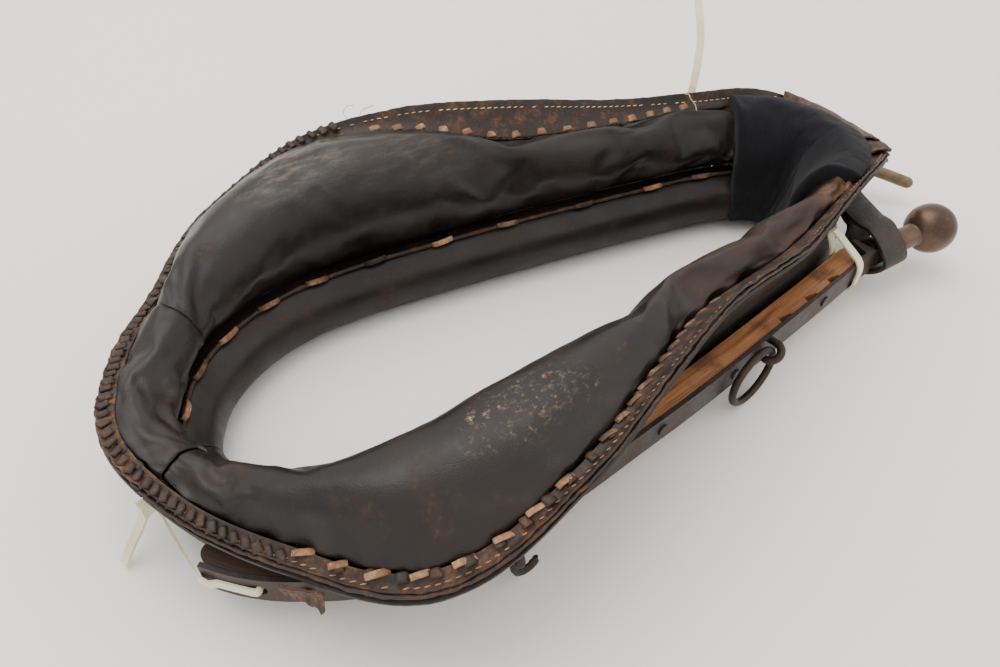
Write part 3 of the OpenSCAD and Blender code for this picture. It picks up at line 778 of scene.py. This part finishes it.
rimPieces = {
    "far": [rimPly("rimFarUpper", farCut, topS - 0.6, 0.0, 0.0, rim["upper"], "rim"),
            rimPly("rimFarLower", farCut, topS - 0.6, rim["step"], 1.7, rim["lower"], "rimWorn")],
    "near": [rimPly("rimNearUpper", topS + 0.6, nearCut, -0.6, 0.0, rim["upper"], "rim"),
             rimPly("rimNearMiddle", topS + 0.6, nearCut, rim["step"], 1.7, rim["lower"], "rim"),
             rimPly("rimNearLower", topS + 0.6, nearCut, -0.4, 3.6, rim["lower"], "rimWorn")],
    "throat": [rimPly("rimThroatUpper", -0.62, farCut + 0.02, 0.3, -0.5, rim["upper"], "rimWorn",
                      1.8),
               rimPly("rimThroatLower", -0.6, farCut, rim["step"] - 0.6, 1.5, rim["lower"], "rim",
                      1.4)]}
for side, group in rimPieces.items():
    for piece in group:
        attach(piece, "collar")
    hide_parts("flange_" + side)


# leather that lines the hame groove, from the rim down to the front roll
def sideLine(s):
    r = station(s)
    return smoothPath([(r[2] + 2, r[3] - 9.6), (r[4] + 3.4, r[5] - 11.2),
                       (0.66 * r[4] + 7.4, 0.35 * r[5] + 0.65 * lowZ - 6.6),
                       (0.33 * r[4] + 14, lowZ - 5.6), (15, lowZ - 4.8)], 4)


def sidePiece(name, a, b, node):
    rings = []
    for s in steps(a, b, round((b - a) / 0.07)):
        line = sideLine(s)
        line = [(u, z + 0.5 * hashed(s * 3, u * 0.1)) for u, z in line]
        rings.append([spot(s, u, z) for u, z in line + shiftLine(line, 2.3)[::-1]])
    piece = skin(name, rings, "side", caps=True)
    outsideOut(piece)
    withModifier(piece, "BEVEL", width=0.0005, segments=2, limit_method="ANGLE")
    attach(piece, "collar")
    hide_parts(node)
    return piece


sidePiece("sideFarLining", farCut + 0.01, topS - 0.01, "side_far")
sidePiece("sideNearLining", topS + 0.01, nearCut - 0.01, "side_near")
sidePiece("sideThroatLining", nearCut + 0.01 - loopS, farCut - 0.01, "side_throat")
print("rim and side leather laid")


# laces and threads
# place on the collar: x along it, y outwards and z away from the leather, leaned by an angle
def seat(s, u, z, lean=0.0, turn=0.0, size=(1, 1, 1)):
    d = outward(s)
    along = Vector((d.y, -d.x, 0))
    place = Matrix((along, d, Vector((0, 0, 1)))).transposed().to_4x4()
    place.translation = spot(s, u, z)
    return place @ Matrix.Rotation(math.radians(lean), 4, "X") \
        @ Matrix.Rotation(math.radians(turn), 4, "Z") @ Matrix.Diagonal((*size, 1))


# a strap end that comes up through one slot and goes down through the next
def thongTemplate(long, wide, thick, arch):
    bpy.ops.object.select_all(action="DESELECT")
    bpy.ops.mesh.primitive_cube_add(size=1)
    piece = bpy.context.object
    piece.data.transform(Matrix.Diagonal((long, wide, thick, 1)))
    bpy.ops.object.mode_set(mode="EDIT")
    bpy.ops.mesh.select_all(action="SELECT")
    bpy.ops.mesh.subdivide(number_cuts=3)
    bpy.ops.object.mode_set(mode="OBJECT")
    for v in piece.data.vertices:
        x, y = 2 * v.co.x / long, 2 * v.co.y / wide
        v.co.z += arch * (1 - x * x) - 0.22 * thick * y * y
        v.co.y *= 1 - 0.10 * x * x
        if abs(x) > 0.9:
            v.co.z -= 0.6 * thick
    piece.data.update()
    return piece


def stamped(name, template, places, finish, roughen=0.0):
    copies = []
    for j, place in enumerate(places):
        mesh = template.data.copy()
        for v in mesh.vertices:
            v.co += Vector((hashed(v.co.x / mm, j, v.co.z / mm), hashed(v.co.y / mm, j + 7),
                            hashed(v.co.x / mm, j + 3))) * roughen
        mesh.transform(place)
        copy = bpy.data.objects.new(name, mesh)
        bpy.context.scene.collection.objects.link(copy)
        copies.append(copy)
    piece = joined(name, copies)
    piece.data.materials.clear()
    piece.data.materials.append(finishes[finish])
    piece.data.polygons.foreach_set("use_smooth", [True] * len(piece.data.polygons))
    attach(piece, "collar")
    return piece


thong = thongTemplate(0.0094, 0.0056, 0.0009, 0.0005)


def laceRow(a, b, n):
    return [a + (b - a) * (i + 0.5) / n for i in range(n)]


def flangeSlope(s):
    r = station(s)
    return math.degrees(math.atan2(r[3] - r[5] - 3, r[2] - r[4]))


def lacePlaces(row, u, z):
    return [seat(s, station(s)[4] + u, station(s)[5] + z + 0.25 * hashed(s * 7),
                 0.7 * flangeSlope(s), 14 * hashed(s * 5, 2),
                 (1 + 0.25 * hashed(s * 3), 1 + 0.3 * hashed(s * 9), 1)) for s in row]


strip = thongTemplate(0.0140, 0.0040, 0.0009, 0.0005)
laces = {
    "lacingFarThongs": ("lacing_far", thong, laceRow(4.6, 8.0, 15), 3.6, 4.2, "thong"),
    "lacingNearThongs": ("lacing_near", strip, laceRow(loopS - 4.1, loopS - 2.0, 8), 2.3, 2.7,
                         "thong"),
    "lacingNearTop": (None, strip, laceRow(loopS - 6.2, loopS - 4.3, 11), 2.6, 3.0, "thongDull"),
    "lacingThroatThongs": ("lacing_throat", thong, laceRow(-0.5, 1.5, 9), 3.0, 2.0, "rim"),
    "lacingFarLow": (None, thong, laceRow(1.7, 4.4, 9), 3.2, 2.2, "rim")}
for name, (node, template, row, u, z, finish) in laces.items():
    piece = stamped(name, template, lacePlaces(row, u, z), finish, 0.0003)
    if node:
        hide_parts(node)

# small dark tabs between the thongs
tab = thongTemplate(0.0072, 0.0066, 0.0009, 0.0004)
for side, (a, b, n) in {"Far": (4.6, 8.0, 15), "Near": (loopS - 6.2, loopS - 2.2, 20)}.items():
    row = [s + (b - a) / n / 2 for s in laceRow(a, b, n)][:-1]
    stamped("lacingTabs" + side, tab, lacePlaces(row, 3.0, 2.2), "rim", 0.0004)

# worn whip lacing over the edge of the throat rim and the low end of each limb
whip = thongTemplate(0.0056, 0.0085, 0.0008, 0.0004)
stamped("whipLacing", whip,
        [seat(s, station(s)[2] - 4.4, station(s)[3] + 0.4 + 0.25 * hashed(s * 8),
              flangeSlope(s), 26 + 12 * hashed(s * 6), (1 + 0.4 * hashed(s * 31), 1, 1))
         for s in laceRow(-2.0, 4.4, 62)], "rim", 0.0005)

# thongs of the inner seam, standing on edge between the body and the front roll
innerThong = thongTemplate(0.0190, 0.0045, 0.0015, 0.0012)
row = laceRow(0.2, 8.4, 11) + laceRow(loopS - 8.4, loopS - 0.2, 11)
for name, picked, finish in (("innerSeamThongs", (0, 2, 6, 9, 12, 15, 19), "thong"),
                             ("innerSeamDull", (1, 3, 4, 7, 10, 13, 17, 21), "thongDull"),
                             ("innerSeamDark", (5, 8, 11, 14, 16, 18, 20), "rim")):
    piece = stamped(name, innerThong, [seat(row[k], -7.9, lowZ - 0.6, 62, 10 * hashed(row[k], 4))
                                       for k in picked], finish, 0.0003)
    if name == "innerSeamThongs":
        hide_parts("seam_thongs")


# stitches: short plump threads, each sunk a little at both ends
def stitchTemplate(long, thick):
    bpy.ops.object.select_all(action="DESELECT")
    bpy.ops.mesh.primitive_uv_sphere_add(segments=6, ring_count=5, radius=0.5)
    piece = bpy.context.object
    piece.data.transform(Matrix.Rotation(math.pi / 2, 4, "Y"))
    piece.data.transform(Matrix.Diagonal((long, thick, thick * 0.8, 1)))
    return piece


def stitchRow(name, template, a, b, every, inset, raiseBy, finish, missing=0.0):
    places = []
    s = a
    while s < b:
        r = station(s)
        line = flangeLine(s)
        u = r[2] - inset
        z = next((z0 + (z1 - z0) * (u - u0) / (u1 - u0)
                  for (u0, z0), (u1, z1) in zip(line, line[1:]) if u0 <= u <= u1), r[3])
        if hashed(s * 23, 5) > missing - 0.5:
            places.append(seat(s, u + 0.3 * hashed(s * 13), z + raiseBy, flangeSlope(s),
                               5 * hashed(s * 29)))
        outer = (spot(s + 0.01, u, 0) - spot(s, u, 0)).length / 0.01
        s += every / max(outer, 0.01)
    return stamped(name, template, places, finish)


stitch = stitchTemplate(0.0042, 0.0011)
stitchRow("rimStitchFar", stitch, 4.2, topS - 1.2, 0.0058, 4.2, 0.35, "cream", 0.12)
stitchRow("rimStitchFarLow", stitch, farCut + 0.1, 4.1, 0.0060, 4.0, 0.35, "orange", 0.3)
stitchRow("rimStitchNear", stitch, topS + 0.7, nearCut - 0.1, 0.0058, 4.0, 0.35, "orange", 0.2)
stitchRow("rimStitchThroat", stitch, -0.5, farCut - 0.1, 0.0062, 4.2, 0.9, "orange", 0.45)

# ends of broken thread, each under 30 mm, lying over the rim
def threadEnd(name, s, u, z, path, radius, finish):
    start = spot(s, u, z)
    d, along = outward(s), Vector((outward(s).y, -outward(s).x, 0))
    line = [start + (along * a + d * b + Vector((0, 0, c))) * mm for a, b, c in smoothPath(path, 5)]
    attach(sweptTube(name, line, radius, finish, 6), "collar")


threadEnd("threadEndTop", 7.9, station(7.9)[2] - 3, station(7.9)[3] + 0.6,
          [(0, 0, 0), (1, -5, 2), (0, -11, 1.2), (2, -17, -2.2), (1, -22, -4.5)], 0.0005, "cream")
threadEnd("threadEndMiddle", 4.6, station(4.6)[2] - 3, station(4.6)[3] + 0.6,
          [(0, 0, 0), (4, 3, 4), (10, 2, 6), (15, 5, 5)], 0.00035, "cream")
threadEnd("threadEndLow", 4.5, station(4.5)[2] - 3, station(4.5)[3] + 0.6,
          [(0, 0, 0), (-3, 4, 5), (2, 7, 9), (7, 6, 9)], 0.0003, "cream")
print("laces and stitches set")

for t in (thong, strip, tab, whip, innerThong, stitch):
    bpy.data.objects.remove(t)

# neck pad
pad = {"pressure": 1.6, "cap": 0.0045, "frames": 14, "slack": 0.02, "bending": 6.0}


def padLine(s):
    r = station(s)
    h = r[6]
    return smoothPath([(-rollR, 12), (-rollR - 2.6, rollR + 4), (-21, 2 * rollR + 2),
                       (-r[8] - 7, 86), (-4, h - 3), (r[7] + 2, h + 4.5),
                       (r[4] + 6, r[5] + 10)], 6)


padRings = []
for s in steps(8.55, loopS - 8.55, 90):
    line = padLine(s)
    ring = line + shiftLine(line, 3.0)[::-1]
    padRings.append([spot(s, u, z) for u, z in ring])
neckPad = skin("neckPadCover", padRings, "felt", caps=True)
outsideOut(neckPad)
edge = len(padLine(9))
held = {i * len(padRings[0]) + k: 1.0 for i in range(len(padRings))
        for k in range(len(padRings[0]))
        if k in (0, edge - 1, edge, 2 * edge - 1) or i in (0, len(padRings) - 1)
        or (i % 15 == 0 and k >= edge)}
swell(neckPad, held, pad)
print("neck pad swelled")
subdivided(neckPad)
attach(neckPad, "collar")
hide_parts("neck_pad")


# folded leather over the outside of the top, behind the pad, with a ragged edge
def capSheet(name, a, b, u0, u1, lift, thick, seed, finish):
    rings = []
    for s in steps(a, b, 46):
        r = station(s)
        line = []
        for t in steps(0, 1, 8):
            tt = t * (1 + 0.16 * hashed(s * 6, seed) + 0.08 * hashed(s * 21, seed))
            u = r[4] + (u0 + (u1 - u0) * tt) * (r[2] - r[4])
            z = r[5] + (u0 + (u1 - u0) * tt) * (r[3] - r[5]) + lift \
                + 2.2 * math.sin(tt * 3.0) + 1.2 * hashed(s * 4, tt * 2, seed)
            line.append((u, z))
        rings.append([spot(s, u, z) for u, z in line + shiftLine(line, thick)[::-1]])
    piece = skin(name, rings, finish, caps=True)
    outsideOut(piece)
    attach(piece, "collar")
    return piece


capUnder = capSheet("capLeatherUnder", 9.5, 12.3, 0.35, 1.04, 3.4, 2.0, 3, "cap")
capSheet("capLeatherOver", 9.8, 11.6, 0.10, 0.86, 6.6, 1.8, 8, "rimWorn")
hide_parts("cap_leather")
print("neck pad and cap fitted")


# hames
# middle line of a hame in plan, in metres
def hameLine(near):
    groove = [(-336, 83), (-317, 104), (-291, 123), (-248, 144), (-180, 154), (-116, 152),
              (-45, 143), (24, 133.5), (110, 118.5)]
    end = [(180, 106), (236, 95)] if near else [(180, 103.5), (224, 93)]
    sign = -1 if near else 1
    return [Vector(((x + shiftX) * mm, sign * y * mm)) for x, y in smoothPath(groove + end, 8)]


def runAlong(line, p):
    best, total = None, 0.0
    for a, b in zip(line, line[1:]):
        d = b - a
        t = min(1, max(0, (Vector((p.x, p.y)) - a).dot(d) / d.length_squared))
        q = a + d * t
        gap = (Vector((p.x, p.y)) - q).length
        if best is None or gap < best[0]:
            side = (p.x - q.x) * -d.y + (p.y - q.y) * d.x
            best = (gap, total + t * d.length, math.copysign(gap, side))
        total += d.length
    return best[1], best[2]


# the wood keeps its sawn shape; the copy gets its edges rounded and a run for the grain
def woodPiece(name, node, near):
    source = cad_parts[node]
    mesh = source.data.copy()
    piece = bpy.data.objects.new(name, mesh)
    bpy.context.scene.collection.objects.link(piece)
    only(piece)
    bpy.ops.object.mode_set(mode="EDIT")
    bpy.ops.mesh.select_all(action="SELECT")
    bpy.ops.mesh.remove_doubles(threshold=0.00002)
    bpy.ops.mesh.dissolve_limited(angle_limit=math.radians(3))
    bpy.ops.object.mode_set(mode="OBJECT")
    withModifier(piece, "BEVEL", width=0.0014, segments=3, limit_method="ANGLE",
                 angle_limit=math.radians(40))
    withModifier(piece, "TRIANGULATE")
    mesh = piece.data
    line = hameLine(near)
    for layer in list(mesh.uv_layers):
        mesh.uv_layers.remove(layer)
    layer = mesh.uv_layers.new(name="run")
    runs = [runAlong(line, v.co) for v in mesh.vertices]
    for loop in mesh.loops:
        u, w = runs[loop.vertex_index]
        layer.data[loop.index].uv = (u, w + mesh.vertices[loop.vertex_index].co.z * 0.8)
    mesh.materials.clear()
    mesh.materials.append(finishes["ash"])
    only(piece)
    bpy.ops.object.shade_smooth_by_angle(angle=math.radians(35))
    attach(piece, "collar")
    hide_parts(node)
    return piece


woodPiece("hameWoodNear", "wood_near", True)
woodPiece("hameWoodFar", "wood_far", False)
print("hame wood planed")

# hame strap
strap = {"wide": 28, "thick": 3.4}


def bandAlong(name, points, width, thick, finish, across, closed=False, edge=0.0006):
    line = [Vector(p) for p in points]
    n = len(line)
    rings = []
    for i, p in enumerate(line):
        a = line[i - 1] if closed or i else line[i]
        b = line[(i + 1) % n] if closed or i < n - 1 else line[i]
        t = (b - a).normalized()
        x = (Vector(across) - t * t.dot(Vector(across))).normalized()
        y = t.cross(x)
        w, h = width / 2, thick / 2
        rings.append([p + x * q * w + y * r * h for q, r in
                      ((-1, -1), (-1, 1), (-0.5, 1), (0, 1.12), (0.5, 1), (1, 1), (1, -1),
                       (0.5, -1), (0, -1.05), (-0.5, -1))])
    piece = skin(name, rings, finish, closedRun=closed, caps=not closed)
    outsideOut(piece)
    withModifier(piece, "BEVEL", width=edge, segments=2, limit_method="ANGLE",
                 angle_limit=math.radians(50))
    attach(piece, "collar")
    return piece


strapPoints = [(303.5, -12, 44.2), (291, -42, 45), (277, -67, 43), (266, -78, 31), (266, -98, 20),
               (266, -118, 40), (266, -98, 60), (274, -74, 56), (290, -45, 50),
               (303.5, -15, 48.8), (306, 0, 48.8), (303.5, 15, 48.8), (290, 45, 49.8),
               (271, 68, 55.6), (264, 92, 54.6), (264, 108.5, 38.5), (264, 92, 22.4),
               (265, 75.5, 36), (275, 62, 43.5), (290, 44, 45), (303.5, 13, 44.2)]
strapPiece = bandAlong("hameStrapLeather",
                       [((x + shiftX) * mm, y * mm, z * mm) for x, y, z in
                        smoothPath(strapPoints, 8)],
                       strap["wide"] * mm, strap["thick"] * mm, "strap",
                       (1, 0, 0))
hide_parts("hame_strap")

# twine wound on the bare tip, with its loose end
def twineTurns(turns, reach, clear):
    low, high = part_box("peg_twine")
    centre = (low + high) / 2
    run = Vector((34, -33.5, -2)).normalized()
    side = run.cross(Vector((0, 0, 1))).normalized()
    up = side.cross(run)
    line = []
    for k in range(turns * 14 + 1):
        a = 2 * math.pi * k / 14
        out = clear + 0.3 * hashed(k * 0.4)
        line.append(centre + (run * (k / (turns * 14) - 0.5) * reach
                              + (side * math.cos(a) + up * math.sin(a)) * out) * mm)
    for k in range(1, 9):
        line.append(line[turns * 14] + (-side * 0.6 * k + run * 1.5 * k + up * (0.1 * k * k - 0.7 * k))
                    * mm)
    return line


pegTwine = {"turns": 4, "reach": 8.0, "clear": 6.8, "radius": 0.0008}
twine = sweptTube("pegTwineWound",
                  twineTurns(pegTwine["turns"], pegTwine["reach"], pegTwine["clear"]),
                  pegTwine["radius"], "twine")
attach(twine, "collar")
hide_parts("peg_twine")


# torn end of leather hanging on edge below the near rim
torn = {"station": loopS - 2.12, "out": 68.5, "height": 64, "turn": -51,
        "long": 27, "tall": 18, "thick": 1.8}


def tornTab(look):
    middle = spot(look["station"], look["out"], look["height"])
    a = math.radians(look["turn"])
    run, side = Vector((math.cos(a), math.sin(a), 0)), Vector((-math.sin(a), math.cos(a), 0))
    long, tall, thick = look["long"], look["tall"], look["thick"]
    rings = []
    for x in steps(-long / 2, long / 2, 24):
        drop = tall * (0.86 + 0.34 * hashed(x * 0.35, 4) + 0.16 * hashed(x * 1.3, 9))
        curl = [(1.6 * math.sin(t * 3 + x * 0.12) + 0.7 * hashed(x * 0.3, t), tall / 2 - drop * t)
                for t in steps(0, 1, 9)]
        rings.append([middle + (run * x + side * u + Vector((0, 0, z))) * mm
                      for u, z in curl + [(u - thick, z) for u, z in curl][::-1]])
    piece = skin("tornTab", rings, "rimWorn", caps=True)
    outsideOut(piece)
    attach(piece, "collar")
    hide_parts("leather_tab")


tornTab(torn)

# finishes on the CAD pieces
nodeFinish = {
    "iron": ["plate_near", "plate_far", "rivets_near", "rivets_far", "peg_socket"],
    "darkIron": ["ring_staple_near", "ring_staple_far", "rein_ring_near", "rein_ring_far",
                 "hook_staple_near", "hook_staple_far", "tug_hook_near", "tug_hook_far",
                 "strap_buckle", "strap_tongue"],
    "ball": ["hame_ball"],
    "brass": ["hame_peg"],
    "nylon": ["tie_low", "tie_top", "tie_near"]}
for finish, nodes in nodeFinish.items():
    for node in nodes:
        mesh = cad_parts[node].data
        if not mesh.materials:
            mesh.materials.append(None)
        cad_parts[node].material_slots[0].material = finishes[finish]
print("iron, ball and ties finished")


# floor and light
stageLook = {"floor": (0.93, 0.905, 0.875), "sky": (1.0, 0.98, 0.955), "skyPower": 1.42,
             "key": 44, "keySize": 2.2, "keyAt": (-0.3, 0.7, 2.2),
             "fill": 12, "fillSize": 2.6, "fillAt": (1.6, -1.4, 1.8)}


def makeStage(look):
    bpy.ops.object.select_all(action="DESELECT")
    bpy.ops.mesh.primitive_plane_add(size=12, location=(0, 0, -0.0006))
    floor = bpy.context.object
    floor.name = "floor"
    floor.data.transform(Matrix.Translation(floor.location))
    floor.location = (0, 0, 0)
    f = Finish("floor_paper")
    shade = f.noise(f.place(), 1.4, 3.0)
    floor.data.materials.append(f.done(
        base=f.mix(shade, look["floor"], tuple(c * 0.93 for c in look["floor"])),
        rough=0.75, normal=f.bump(f.noise(f.place(), 260.0, 4.0), 0.06, 0.0006)))
    world = bpy.data.worlds.new("studio")
    bpy.context.scene.world = world
    world.use_nodes = True
    sky = world.node_tree.nodes["Background"]
    sky.inputs["Color"].default_value = (*look["sky"], 1)
    sky.inputs["Strength"].default_value = look["skyPower"]
    for name in ("key", "fill"):
        bpy.ops.object.light_add(type="AREA", location=look[name + "At"])
        light = bpy.context.object
        light.name = name + "Light"
        light.data.energy = look[name]
        light.data.size = look[name + "Size"]
        aim = Vector((-0.05, 0, 0.05)) - light.location
        light.rotation_euler = aim.to_track_quat("-Z", "Y").to_euler()


makeStage(stageLook)
print("floor and lights ready")
